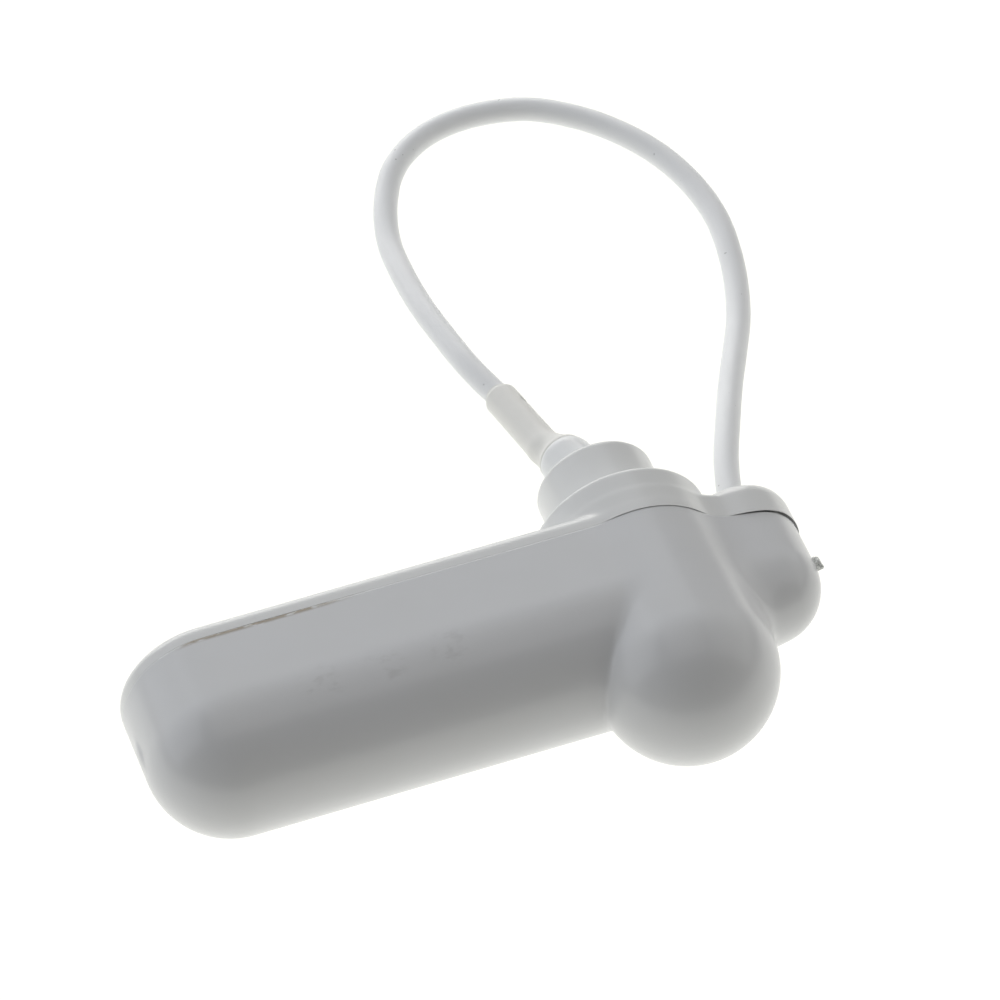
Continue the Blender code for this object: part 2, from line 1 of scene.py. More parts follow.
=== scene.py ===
"""Looks of the lanyard security tag: smooth mouldings, plug, vinyl cable, materials, light and camera.

Millimetres are used for the tag's own upright frame: x along the arm towards the lock, z up the lock's
axis out of the cover, z = 0 at the seam. Pieces are then laid on their side, where the CAD model lies.
"""

import json
from math import cos, pi, radians, sin

import bmesh
import bpy
import numpy as np
from mathutils import Euler, Matrix, Vector


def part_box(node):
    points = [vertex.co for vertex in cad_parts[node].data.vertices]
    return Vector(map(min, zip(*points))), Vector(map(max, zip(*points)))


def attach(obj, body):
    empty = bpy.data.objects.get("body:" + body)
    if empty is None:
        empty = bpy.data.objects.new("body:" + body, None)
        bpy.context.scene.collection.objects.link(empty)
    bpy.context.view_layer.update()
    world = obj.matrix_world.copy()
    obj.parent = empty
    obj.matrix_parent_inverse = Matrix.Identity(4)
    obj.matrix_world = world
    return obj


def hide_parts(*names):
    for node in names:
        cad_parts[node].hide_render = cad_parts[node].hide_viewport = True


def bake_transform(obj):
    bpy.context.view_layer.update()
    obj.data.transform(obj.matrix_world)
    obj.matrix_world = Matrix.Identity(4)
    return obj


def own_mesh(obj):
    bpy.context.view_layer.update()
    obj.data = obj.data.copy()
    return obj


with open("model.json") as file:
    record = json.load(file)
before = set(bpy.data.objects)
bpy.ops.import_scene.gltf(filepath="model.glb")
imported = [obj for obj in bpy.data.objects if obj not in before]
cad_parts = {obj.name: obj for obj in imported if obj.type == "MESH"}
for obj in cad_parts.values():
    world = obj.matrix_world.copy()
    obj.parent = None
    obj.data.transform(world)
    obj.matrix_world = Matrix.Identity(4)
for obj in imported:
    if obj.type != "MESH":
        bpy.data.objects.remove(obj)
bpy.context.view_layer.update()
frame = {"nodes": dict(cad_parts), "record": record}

MM = 0.001

# Places and sizes read from the frame
lock_low, lock_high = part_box("clutch_bell")
casing_low, casing_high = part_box("lower_casing")
cover_low, cover_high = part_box("top_cover")
LOCK_X = (lock_low.x + lock_high.x) / 2 / MM
LOCK_Z = (lock_low.z + lock_high.z) / 2 / MM
SEAM_Y = casing_high.y / MM
LOCK_RADIUS = LOCK_Z
LOCK_WALL = SEAM_Y - casing_low.y / MM - LOCK_RADIUS
ARM_LENGTH = LOCK_X - casing_low.x / MM
BOSS_HEIGHT = cover_high.y / MM - SEAM_Y
ON_ITS_SIDE = Euler((-pi / 2, 0, 0)).to_matrix().to_4x4()
LAY_DOWN = Matrix.Translation((LOCK_X * MM, SEAM_Y * MM, LOCK_Z * MM)) @ ON_ITS_SIDE

# Shape of the mouldings
ARM_HALF_WIDTH = 8.0
ARM_WALL = 6.7
ANCHOR_X = 10.5
ANCHOR_Y = 1.45
ANCHOR_RADIUS = 5.2
ANCHOR_WALL = 4.9
COVER_HEIGHT = 2.1
COVER_EDGE = 1.4
PAD_HEIGHT = 5.3
PAD_EDGE = 0.45
BOSS_RADIUS = 5.65
BOSS_EDGE = 0.45
ANCHOR_HEIGHT = 4.05
ANCHOR_EDGE = 0.8
WAIST_HEIGHT = 3.35
WAIST_EDGE = 0.8
BORE_RADIUS = 1.15
BORE_WALL_END = 3.8         # height at which the wall of the lock's bore stops, inside the cover
CABLE_HOLE_X = 11.1
CABLE_HOLE_RADIUS = 1.4
CABLE_HOLE_END = 2.2
ARM_BLEND = 0.5             # softness of the corner between the arm and the lock
WAIST_BLEND = 4.0           # softness of the corner between the lock and the anchor
STEP_BLEND = 0.5            # softness of the boss's foot and of the holes' rims
FOOT_BLEND = 0.2            # softness of the raised pad's foot
GATE_MARK = (-49.15, -0.7, -5.2)        # trimmed moulding gate on the arm's end
GATE_SIZE = (0.3, 1.0, 1.6)
GLUE_PLACE = (15.68, 0.1, -4.9)
GLUE_SIZE = (0.42, 0.5, 0.75)
WALL = 1.2
CELL = 0.24
# Rounding of the seam's edges: (inwards, further towards the seam)
RIM_ROWS = ((0.01, 0.02), (0.02, 0.01))
CASING_RIM = -0.015
COVER_RIM = 0.015
SEAM_OPENING = 0.2          # how far the seam stands open at the anchor's outer side
ARM_SEAM_OPENING = 0.05     # and along the outer half of the arm, where dirt has settled

# Plug
HEAD_BASE = 12.2
LEAN = Vector((-0.231, 0.152, 0.961)).normalized()
LEAN_START = 2.6            # length over which the head bends from the lock's axis to the lean
SLEEVE_END = 16.4
HEAD_OUTLINE = (            # (length along the plug's axis, radius)
    (0.0, 0.9), (0.0, 2.1), (0.08, 2.25), (0.35, 2.4), (1.2, 2.48), (2.6, 2.56), (3.7, 2.6), (4.2, 2.56),
    (4.55, 2.44), (4.8, 2.22), (4.95, 1.9), (4.97, 0.9),
)
SLEEVE_OUTLINE = (
    (4.3, 2.35), (4.7, 2.42), (4.95, 2.34), (5.25, 2.16), (5.7, 1.96), (6.2, 1.82), (7.0, 1.71), (8.4, 1.66),
    (12.0, 1.64), (15.6, 1.64), (15.95, 1.61), (16.2, 1.54), (16.35, 1.44), (16.4, 1.36), (16.34, 1.3),
    (16.1, 1.28), (8.2, 1.28),
)
CRIMP_OUTLINE = ((8.5, 0.3), (8.5, 1.1), (8.7, 1.15), (11.3, 1.15), (11.5, 1.1), (11.5, 0.3))
SIDEWAYS = Vector((-0.945, -0.044, 0.328))      # the side to which the sleeve sits off the head's middle
HEAD_SHIFT = 0.35
SLEEVE_SHIFT = 0.95
SLEEVE_FOOT = 4.8
SLEEVE_STRAIGHT = 6.8       # station where the sleeve's foot has narrowed to the plain tube
NICK_LENGTH = 13.7          # station of the cut in the sleeve
NICK_ANGLE = -33.0
NICK_DEPTH = 0.3

# Cable, in the part's own frame, from inside the anchor to the plug's sleeve
CABLE_RADIUS = 1.2
CABLE_EXIT = (27.9, 8.4, 7.05)
CABLE_ROUTE = (
    (27.9, 2.2, 7.05), (27.9, 5.3, 7.05), CABLE_EXIT,
    (28.5, 12, 7), (30, 17, 6.5), (32, 22, 5.5), (34.5, 28, 4), (37, 33.5, 2.5), (39, 38, 1.6),
    (40.5, 42.5, 1.3), (41.5, 47, 1.3), (42, 52, 1.3), (41.5, 57, 1.3), (40, 62, 1.3), (37.5, 66.5, 1.3),
    (34, 70.5, 1.3), (29.5, 73.5, 1.3), (24, 74.5, 1.3), (19, 73.5, 1.3), (15, 70.5, 1.3), (12.5, 66, 1.3),
    (11, 60.5, 1.6), (10.5, 54.5, 2.8), (10.5, 48.5, 4), (11, 42.5, 5.1), (11.5, 38.5, 5.7),
    (12.2, 35.4, 5.9),
)
CABLE_IN_SLEEVE = (SLEEVE_END, 14.4, 12.0)      # stations on the plug's leaning axis
CABLE_STATION = 0.8
CABLE_SIDES = 32
STRANDS = 6                 # wire rope strands that show faintly through the vinyl
STRAND_PITCH = 17.0
STRAND_RELIEF = 0.006


# Fields: negative inside, positive outside, close to the distance in millimetres

def soft_min(a, b, softness):
    mix = np.clip(0.5 + 0.5 * (b - a) / softness, 0, 1)
    return b + (a - b) * mix - softness * mix * (1 - mix)


def soft_max(a, b, softness):
    return -soft_min(-a, -b, softness)


def to_arm(x, y):
    return np.hypot(x - np.clip(x, ARM_HALF_WIDTH - ARM_LENGTH, 0), y) - ARM_HALF_WIDTH


def to_lock(x, y):
    return np.hypot(x, y) - LOCK_RADIUS


def to_anchor(x, y):
    return np.hypot(x - ANCHOR_X, y - ANCHOR_Y) - ANCHOR_RADIUS


def domed(distance, radius, z, wall):
    """A straight wall whose lower end is a full round of the same radius."""
    below = np.minimum(z + wall, 0)
    return np.hypot(np.maximum(distance + radius, 0), below) - radius


def plate(distance, z, height, edge):
    """A flat-topped solid with straight walls and a rounded upper edge."""
    out = distance + edge
    up = z - height + edge
    return np.minimum(np.maximum(out, up), 0) + np.hypot(np.maximum(out, 0), np.maximum(up, 0)) - edge


def blob(x, y, z, centre, size):
    """An ellipsoid."""
    a, b, c = ((value - middle) / half for value, middle, half in zip((x, y, z), centre, size))
    return (np.sqrt(a ** 2 + b ** 2 + c ** 2) - 1) * min(size)


def casing_field(x, y, z):
    arm = domed(to_arm(x, y), ARM_HALF_WIDTH, z, ARM_WALL)
    lock = domed(to_lock(x, y), LOCK_RADIUS, z, LOCK_WALL)
    anchor = domed(to_anchor(x, y), ANCHOR_RADIUS, z, ANCHOR_WALL)
    arm = soft_min(arm, blob(x, y, z, GATE_MARK, GATE_SIZE), 0.15)
    return soft_min(soft_min(arm, lock, ARM_BLEND), anchor, WAIST_BLEND)


def cover_field(x, y, z):
    waist_outline = soft_min(to_lock(x, y), to_anchor(x, y), WAIST_BLEND)
    arm = plate(soft_min(to_arm(x, y), to_lock(x, y), ARM_BLEND), z, COVER_HEIGHT, COVER_EDGE)
    pad = plate(to_lock(x, y), z, PAD_HEIGHT, PAD_EDGE)
    waist = plate(waist_outline, z, WAIST_HEIGHT, WAIST_EDGE)
    anchor = soft_min(plate(to_anchor(x, y), z, ANCHOR_HEIGHT, ANCHOR_EDGE), waist, WAIST_EDGE)
    boss = plate(np.hypot(x, y) - BOSS_RADIUS, z, BOSS_HEIGHT, BOSS_EDGE)
    solid = soft_min(soft_min(arm, pad, FOOT_BLEND), anchor, FOOT_BLEND)
    solid = soft_min(solid, boss, STEP_BLEND)
    bore = BORE_RADIUS - np.hypot(x, y)
    cable_hole = CABLE_HOLE_RADIUS - np.hypot(x - CABLE_HOLE_X, y - ANCHOR_Y)
    return soft_max(soft_max(solid, bore, STEP_BLEND), cable_hole, STEP_BLEND)


def casing_rim(points):
    return np.full(len(points), CASING_RIM)


def cover_rim(points):
    """Height at which the cover stops: the seam, or the inner end of a hole's wall."""
    x, y = points[:, 0], points[:, 1]
    outer = np.clip((x - ANCHOR_X - 1) / (ANCHOR_RADIUS - 2), 0, 1)
    dirty = np.clip(1 - np.abs(x + 35) / 10, 0, 1)
    rim = COVER_RIM + SEAM_OPENING * outer ** 1.5 + ARM_SEAM_OPENING * dirty ** 0.5
    rim = np.where(np.hypot(x - CABLE_HOLE_X, y - ANCHOR_Y) < CABLE_HOLE_RADIUS + 1, CABLE_HOLE_END, rim)
    return np.where(np.hypot(x, y) < BORE_RADIUS + 1, BORE_WALL_END, rim)


# Surface of a field

def slope(field, points):
    step = 0.02
    columns = []
    for axis in range(3):
        offset = np.zeros(3)
        offset[axis] = step
        columns.append((field(*(points + offset).T) - field(*(points - offset).T)) / (2 * step))
    return np.stack(columns, axis=1)


def settle(field, points, rounds=5):
    """Move points along the field's slope until they lie on its surface."""
    for _ in range(rounds):
        direction = slope(field, points)
        size = np.maximum((direction ** 2).sum(axis=1), 0.05)
        points = points - direction * (field(*points.T) / size)[:, None]
    return points


def skin(field, low, high):
    """Quads over the surface of a field: one point in each grid cell that the surface crosses."""
    axes = [np.arange(a, b + CELL, CELL) for a, b in zip(low, high)]
    inside = field(*np.meshgrid(*axes, indexing="ij")) < 0
    nx, ny, nz = inside.shape
    corners = [inside[i:nx - 1 + i, j:ny - 1 + j, k:nz - 1 + k]
               for i in (0, 1) for j in (0, 1) for k in (0, 1)]
    count = sum(c.astype(np.int8) for c in corners)
    crossed = (count > 0) & (count < 8)
    number = np.full(crossed.shape, -1)
    number[crossed] = np.arange(crossed.sum())
    points = (np.argwhere(crossed) + 0.5) * CELL + np.array([a[0] for a in axes])
    quads = []
    for axis in range(3):
        one, two = (axis + 1) % 3, (axis + 2) % 3
        here = np.moveaxis(inside, (axis, one, two), (0, 1, 2))[:, 1:-1, 1:-1]
        cells = np.moveaxis(number, (axis, one, two), (0, 1, 2))
        for start, end, turn in ((True, False, 1), (False, True, -1)):
            i, j, k = np.nonzero((here[:-1] == start) & (here[1:] == end))
            ring = [cells[i, j, k], cells[i, j + 1, k], cells[i, j + 1, k + 1], cells[i, j, k + 1]]
            quads.append(np.stack(ring[::turn], axis=1))
    return settle(field, points), np.concatenate(quads)


def trimmed(points, quads, rim, side):
    """Keep the faces on one side of a height, and pull the edge that is left exactly to that height."""
    beyond = (points[:, 2] - rim) * side < 0
    quads = quads[~beyond[quads].all(axis=1)]
    points[beyond, 2] = rim[beyond]
    used = np.unique(quads)
    order = np.full(len(points), -1)
    order[used] = np.arange(len(used))
    return points[used], order[quads]


# Objects

def mesh_object(name, points, faces):
    """A smooth-shaded piece from points in millimetres in the upright frame, laid on its side."""
    mesh = bpy.data.meshes.new(name)
    mesh.from_pydata((np.asarray(points) * MM).tolist(), [], np.asarray(faces).tolist())
    mesh.transform(LAY_DOWN)
    mesh.shade_smooth()
    mesh.update()
    obj = bpy.data.objects.new(name, mesh)
    bpy.context.collection.objects.link(obj)
    return obj


def finished(piece, body, material, slot, *nodes):
    piece.data.materials.append(material)
    if nodes:
        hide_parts(*nodes)
    if body:
        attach(piece, body)
    return piece


def rounded_rim(points, quads, field, side):
    """Turn the open edges inwards over a small radius, so that the seam reads as a fine groove."""
    edges = np.sort(np.concatenate([quads[:, [i, (i + 1) % 4]] for i in range(4)]), axis=1)
    directed = np.concatenate([quads[:, [i, (i + 1) % 4]] for i in range(4)])
    _, first, count = np.unique(edges, axis=0, return_index=True, return_counts=True)
    edge = directed[first[count == 1]]
    for inwards, further in RIM_ROWS:
        ring = np.unique(edge)
        outward = slope(field, points[ring])
        outward[:, 2] = 0
        outward /= np.linalg.norm(outward, axis=1)[:, None]
        moved = points[ring] - outward * inwards
        moved[:, 2] -= side * further
        copy = np.full(len(points), -1)
        copy[ring] = len(points) + np.arange(len(ring))
        points = np.concatenate([points, moved])
        row = np.stack([edge[:, 1], edge[:, 0], copy[edge[:, 0]], copy[edge[:, 1]]], axis=1)
        quads = np.concatenate([quads, row])
        edge = copy[edge]
    return points, quads


def main_moulding(name, field, low, high, rim, side):
    points, quads = skin(field, low, high)
    points, quads = trimmed(points, quads, rim(points), side)
    points, quads = rounded_rim(points, quads, field, side)
    obj = mesh_object(name, points, quads)
    solidify = obj.modifiers.new("wall", "SOLIDIFY")
    solidify.thickness = WALL * MM
    solidify.offset = -1
    return obj


def smooth_path(points, steps):
    """A smooth curve through the given points, with a number of steps between each two."""
    points = np.asarray(points, float)
    padded = np.vstack([2 * points[0] - points[1], points, 2 * points[-1] - points[-2]])
    fine = []
    for p0, p1, p2, p3 in zip(padded, padded[1:], padded[2:], padded[3:]):
        for t in np.arange(steps) / steps:
            fine.append(0.5 * (2 * p1 + (p2 - p0) * t + (2 * p0 - 5 * p1 + 4 * p2 - p3) * t ** 2
                               + (3 * p1 - p0 - 3 * p2 + p3) * t ** 3))
    return np.array(fine + [points[-1]])


def evenly_spaced(points, spacing):
    along = np.concatenate([[0], np.cumsum(np.linalg.norm(np.diff(points, axis=0), axis=1))])
    wanted = np.linspace(0, along[-1], round(along[-1] / spacing) + 1)
    return np.stack([np.interp(wanted, along, column) for column in points.T], axis=1)


def tube_faces(rows, sides):
    """Quads between rows of ring points."""
    faces = []
    for row in range(rows - 1):
        for side in range(sides):
            after = (side + 1) % sides
            here, there = row * sides, (row + 1) * sides
            faces.append((here + side, here + after, there + after, there + side))
    return faces


def plug_station(length):
    """Centre and direction of the plug's bent axis, at a length from the head's base."""
    bend = min(max(length, 0) / LEAN_START, 1.0)
    direction = Vector((0, 0, 1)).lerp(LEAN, bend).normalized()
    return Vector((0, 0, HEAD_BASE)) + LEAN * length, direction


def head_station(length):
    centre, direction = plug_station(length)
    return centre + SIDEWAYS * HEAD_SHIFT * length / SLEEVE_FOOT, direction


def sleeve_station(length):
    """As head_station, for the sleeve, which leaves the head off its middle and ends on the axis."""
    centre, direction = plug_station(length)
    rise = min(max((length - SLEEVE_FOOT) / (SLEEVE_STRAIGHT - SLEEVE_FOOT), 0), 1)
    fall = min((SLEEVE_END - length) / (SLEEVE_END - SLEEVE_STRAIGHT), 1)
    shift = (HEAD_SHIFT + (SLEEVE_SHIFT - HEAD_SHIFT) * rise * rise * (3 - 2 * rise)) * fall
    slant = SIDEWAYS * SLEEVE_SHIFT / (SLEEVE_END - SLEEVE_STRAIGHT)
    return centre + SIDEWAYS * shift, (LEAN - slant).normalized() if length > SLEEVE_STRAIGHT else direction


def plug_piece(name, outline, steps, sides, station, shaping=None):
    """An outline turned about a bent axis. shaping may change the radius at (length, angle)."""
    rows = []
    for length, radius in smooth_path(outline, steps):
        centre, direction = station(length)
        turn = Vector((0, 0, 1)).rotation_difference(direction).to_matrix()
        for side in range(sides):
            angle = 2 * pi * side / sides
            r = radius - (shaping(length, angle) if shaping else 0)
            rows.append(centre + turn @ Vector((r * cos(angle), r * sin(angle), 0)))
    return mesh_object(name, [list(p) for p in rows], tube_faces(len(rows) // sides, sides))


def sleeve_nick(length, angle):
    """Depth of the small cut in the sleeve's outer wall."""
    around = (angle - radians(NICK_ANGLE) + pi) % (2 * pi) - pi
    reach = abs(length - NICK_LENGTH) / 0.8
    spread = abs(around + 0.12 * (length - NICK_LENGTH)) / 0.2
    return NICK_DEPTH * max(0, 1 - reach ** 2) * max(0, 1 - spread ** 2)


def cable_centreline():
    in_sleeve = [LAY_DOWN @ (sleeve_station(length)[0] * MM) / MM for length in CABLE_IN_SLEEVE]
    return evenly_spaced(smooth_path(list(CABLE_ROUTE) + [list(p) for p in in_sleeve], 20), CABLE_STATION)


def make_cable(material):
    line = cable_centreline()
    along = np.concatenate([[0], np.cumsum(np.linalg.norm(np.diff(line, axis=0), axis=1))])
    tangents = np.gradient(line, axis=0)
    tangents /= np.linalg.norm(tangents, axis=1)[:, None]
    across = np.array([1.0, 0, 0])
    angles = 2 * pi * np.arange(CABLE_SIDES) / CABLE_SIDES
    rings = []
    for centre, tangent, length in zip(line, tangents, along):
        across = across - tangent * (across @ tangent)
        across /= np.linalg.norm(across)
        upward = np.cross(tangent, across)
        strand = np.cos(STRANDS * (angles - 2 * pi * length / STRAND_PITCH))
        radius = CABLE_RADIUS - STRAND_RELIEF * (1 - strand)
        outwards = np.cos(angles)[:, None] * across + np.sin(angles)[:, None] * upward
        rings.append(centre + radius[:, None] * outwards)
    points = np.concatenate(rings)
    faces = tube_faces(len(line), CABLE_SIDES)
    mesh = bpy.data.meshes.new("cable")
    mesh.from_pydata((points * MM).tolist(), [], faces)
    mesh.shade_smooth()
    cable = bpy.data.objects.new("cable", mesh)
    bpy.context.collection.objects.link(cable)
    finished(cable, None, material, "cable_pvc", "lanyard_cable")
    return cable, line * MM


def make_spring():
    """The carrier's spring as a piece of its own."""
    solid = frame["nodes"]["clutch_spring"]
    mesh = solid.data.copy()
    mesh.transform(solid.matrix_world)
    mesh.materials.clear()
    spring = bpy.data.objects.new("carrier_spring", mesh)
    bpy.context.collection.objects.link(spring)
    finished(spring, "casing", MATERIALS["steel"], "steel", "clutch_spring")
    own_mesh(spring)


def make_glue_bead(material):
    """A small clear bead of glue left on the anchor's outer wall, under the seam."""
    bm = bmesh.new()
    bmesh.ops.create_icosphere(bm, subdivisions=4, radius=1.0)
    for vert in bm.verts:
        x, y, z = vert.co
        lump = 1 + 0.18 * sin(3 * x + 2 * z) + 0.12 * sin(5 * y - 4 * z) + 0.08 * sin(7 * z + 3 * y)
        vert.co = Vector(GLUE_PLACE) + Vector((x * GLUE_SIZE[0], y * GLUE_SIZE[1], z * GLUE_SIZE[2])) * lump
    mesh = bpy.data.meshes.new("glue_bead")
    bm.to_mesh(mesh)
    bm.free()
    mesh.transform(LAY_DOWN @ Matrix.Scale(MM, 4))
    mesh.shade_smooth()
    bead = bpy.data.objects.new("glue_bead", mesh)
    bpy.context.collection.objects.link(bead)
    return finished(bead, "casing", material, "casing_plastic")


# Materials

class Nodes:
    """Short calls for building a material's node tree. Coordinates are the object's own, in millimetres."""

    def __init__(self, name):
        self.material = bpy.data.materials.new(name)
        self.material.use_nodes = True
        self.tree = self.material.node_tree
        self.shader = self.tree.nodes["Principled BSDF"]
        coordinates = self.tree.nodes.new("ShaderNodeTexCoord").outputs["Object"]
        self.place = self.vector("SCALE", coordinates, scale=1 / MM)

    def link(self, source, target):
        if hasattr(source, "is_output"):
            self.tree.links.new(source, target)
        else:
            target.default_value = source

    def vector(self, operation, a, b=None, scale=None):
        node = self.tree.nodes.new("ShaderNodeVectorMath")
        node.operation = operation
        self.link(a, node.inputs[0])
        if b is not None:
            self.link(b, node.inputs[1])
        if scale is not None:
            node.inputs["Scale"].default_value = scale
        return node.outputs["Value" if operation in ("LENGTH", "DISTANCE") else "Vector"]

    def maths(self, operation, a, b=0.0, clamp=False):
        node = self.tree.nodes.new("ShaderNodeMath")
        node.operation = operation
        node.use_clamp = clamp
        self.link(a, node.inputs[0])
        self.link(b, node.inputs[1])
        return node.outputs[0]

    def noise(self, scale, detail=2.0, stretch=(1, 1, 1)):
        node = self.tree.nodes.new("ShaderNodeTexNoise")
        node.inputs["Scale"].default_value = scale
        node.inputs["Detail"].default_value = detail
        self.link(self.vector("MULTIPLY", self.place, stretch), node.inputs["Vector"])
        return node.outputs["Fac"]

    def between(self, value, low, high, start=0.0, end=1.0):
        """A smooth step from start to end as the value goes from low to high."""
        node = self.tree.nodes.new("ShaderNodeMapRange")
        node.interpolation_type = "SMOOTHSTEP"
        self.link(value, node.inputs["Value"])
        for socket, number in zip(("From Min", "From Max", "To Min", "To Max"), (low, high, start, end)):
            node.inputs[socket].default_value = number
        return node.outputs["Result"]

    def mix(self, amount, a, b):
        node = self.tree.nodes.new("ShaderNodeMix")
        node.data_type = "RGBA"
        self.link(amount, node.inputs["Factor"])
        for socket, colour in zip(("A", "B"), (a, b)):
            target = next(i for i in node.inputs if i.name == socket and i.type == "RGBA")
            self.link((*colour, 1) if isinstance(colour, tuple) else colour, target)
        return next(o for o in node.outputs if o.type == "RGBA")

    def parts(self):
        node = self.tree.nodes.new("ShaderNodeSeparateXYZ")
        self.link(self.place, node.inputs[0])
        return node.outputs

    def bump(self, height, distance, strength=1.0):
        node = self.tree.nodes.new("ShaderNodeBump")
        node.inputs["Strength"].default_value = strength
        node.inputs["Distance"].default_value = distance * MM
        self.link(height, node.inputs["Height"])
        self.link(node.outputs["Normal"], self.shader.inputs["Normal"])

    def finish(self, colour, roughness, **constants):
        self.link(colour, self.shader.inputs["Base Color"])
        self.link(roughness, self.shader.inputs["Roughness"])
        for name, value in constants.items():
            self.shader.inputs[name.replace("_", " ")].default_value = value
        return self.material


def moulded_plastic(name, light, dark, roughness, coat=0.0, surface_marks=None):
    """Glossy moulding: faint flow marks in the colour, uneven gloss, and the ripple of a moulded wall."""
    n = Nodes(name)
    flow = n.between(n.noise(0.14, 2.0, (1, 1.6, 1.6)), 0.2, 0.8)
    colour = n.mix(flow, dark, light)
    handled = n.between(n.noise(0.35, 3.0), 0.2, 0.8)
    # marks mixed into the colour: seam dirt and scuffs on the casing, a dark patch round the cut on the
    # sleeve
    if surface_marks:
        colour = surface_marks(n, colour)
    gloss = n.maths("ADD", roughness - 0.02, n.maths("MULTIPLY", handled, 0.05))
    n.bump(n.noise(0.3, 2.0), 0.03)
    return n.finish(colour, gloss, Coat_Weight=coat, Coat_Roughness=0.1, IOR=1.48,
                    Sheen_Weight=0.05, Sheen_Roughness=0.3)


def near(n, centre, reach):
    """1 at a point of the part's frame, falling to 0 at a distance."""
    return n.between(n.vector("DISTANCE", n.place, centre), reach * 0.35, reach, 1.0, 0.0)


# The dirt along the seam, each as the two places between which it fades
DIRT_DEPTH = (0.12, 0.5)
DIRT_INNER_END = (-9.5, -14.5)
DIRT_OUTER_END = (-27.5, -25.0)
DIRT_FRONT = (12.0, 15.0)


def casing_grime(n, colour):
    x, y, z = n.parts()
    below_seam = n.maths("SUBTRACT", SEAM_Y, y)
    ragged = n.maths("MULTIPLY", n.between(n.noise(0.9, 3.0, (1, 4, 4)), 0.3, 0.5), 0.8)
    line = n.maths("MULTIPLY", n.between(below_seam, *DIRT_DEPTH, 1.0, 0.0), n.between(x, *DIRT_INNER_END))
    line = n.maths("MULTIPLY", line, n.between(x, *DIRT_OUTER_END))
    line = n.maths("MULTIPLY", line, n.between(z, *DIRT_FRONT))
    colour = n.mix(n.maths("MULTIPLY", line, ragged), colour, (0.30, 0.23, 0.15))
    patchy = n.between(n.noise(1.3, 4.0, (0.6, 1, 1)), 0.45, 0.7, 0.0, 0.18)
    for scuff_x in SCUFF_X:
        rubbed = near(n, (scuff_x, SCUFF_Y, SCUFF_Z), SCUFF_REACH)
        colour = n.mix(n.maths("MULTIPLY", rubbed, patchy), colour, (0.30, 0.29, 0.28))
    return colour


SCUFF_X = (-16, -10, -4)    # rubbed places in a row along the arm's lower front
SCUFF_Y = -4
SCUFF_Z = 16
SCUFF_REACH = 2.5


# Darkens the sleeve's colour round its cut, to near black at the middle of the cut
def sleeve_nick_darkening(n, colour):
    nick = sleeve_station(NICK_LENGTH)[0]
    around = radians(NICK_ANGLE)
    place = LAY_DOWN @ ((nick + Vector((cos(around), sin(around), 0)) * 1.45) * MM) / MM
    return n.mix(near(n, tuple(place), 0.75), colour, (0.16, 0.15, 0.14))


def clear_glue():
    n = Nodes("clear_glue")
    cloudy = n.between(n.noise(1.6, 3.0), 0.35, 0.7)
    n.bump(n.noise(2.2, 3.0), 0.12)
    return n.finish(n.mix(cloudy, (0.95, 0.96, 0.94), (0.86, 0.88, 0.85)), n.between(cloudy, 0, 1, 0.12, 0.3),
                    Transmission_Weight=0.25, IOR=1.45)


def cable_vinyl():
    n = Nodes("cable_vinyl")
    shade = n.between(n.noise(0.25, 3.0), 0.3, 0.7)
    colour = n.mix(shade, (0.85, 0.86, 0.875), (0.87, 0.88, 0.895))
    specks = n.between(n.noise(1.9, 1.0), 0.78, 0.8, 0.0, 0.55)
    colour = n.mix(specks, colour, (0.3, 0.3, 0.3))
    gloss = n.between(n.noise(0.7, 2.0), 0.3, 0.7, 0.42, 0.48)
    n.bump(n.noise(3.5, 3.0), 0.01)
    return n.finish(colour, gloss, IOR=1.5)


def turned_steel():
    n = Nodes("turned_steel")
    rings = n.noise(2.0, 2.0, (0.05, 6.0, 0.05))
    colour = n.mix(n.between(rings, 0.3, 0.7), (0.55, 0.55, 0.56), (0.66, 0.66, 0.67))
    n.bump(rings, 0.02)
    return n.finish(colour, n.between(rings, 0.3, 0.7, 0.22, 0.4), Metallic=1.0)


def grained(name, light, dark, grain, roughness, depth, **constants):
    """A matt material with grain of a given size in its colour and surface."""
    n = Nodes(name)
    speckle = n.between(n.noise(1 / grain, 4.0), 0.35, 0.65)
    n.bump(speckle, depth)
    gloss = n.between(speckle, 0, 1, roughness + 0.08, roughness)
    return n.finish(n.mix(speckle, dark, light), gloss, **constants)


def copper_winding():
    n = Nodes("copper_winding")
    x = n.parts()[0]
    turns = n.maths("SINE", n.maths("MULTIPLY", x, 2 * pi / 0.25))
    colour = n.mix(n.between(turns, -1, 1), (0.3, 0.1, 0.04), (0.72, 0.34, 0.16))
    n.bump(turns, 0.05)
    return n.finish(colour, n.between(n.noise(0.8), 0.3, 0.7, 0.22, 0.36), Metallic=0.85)


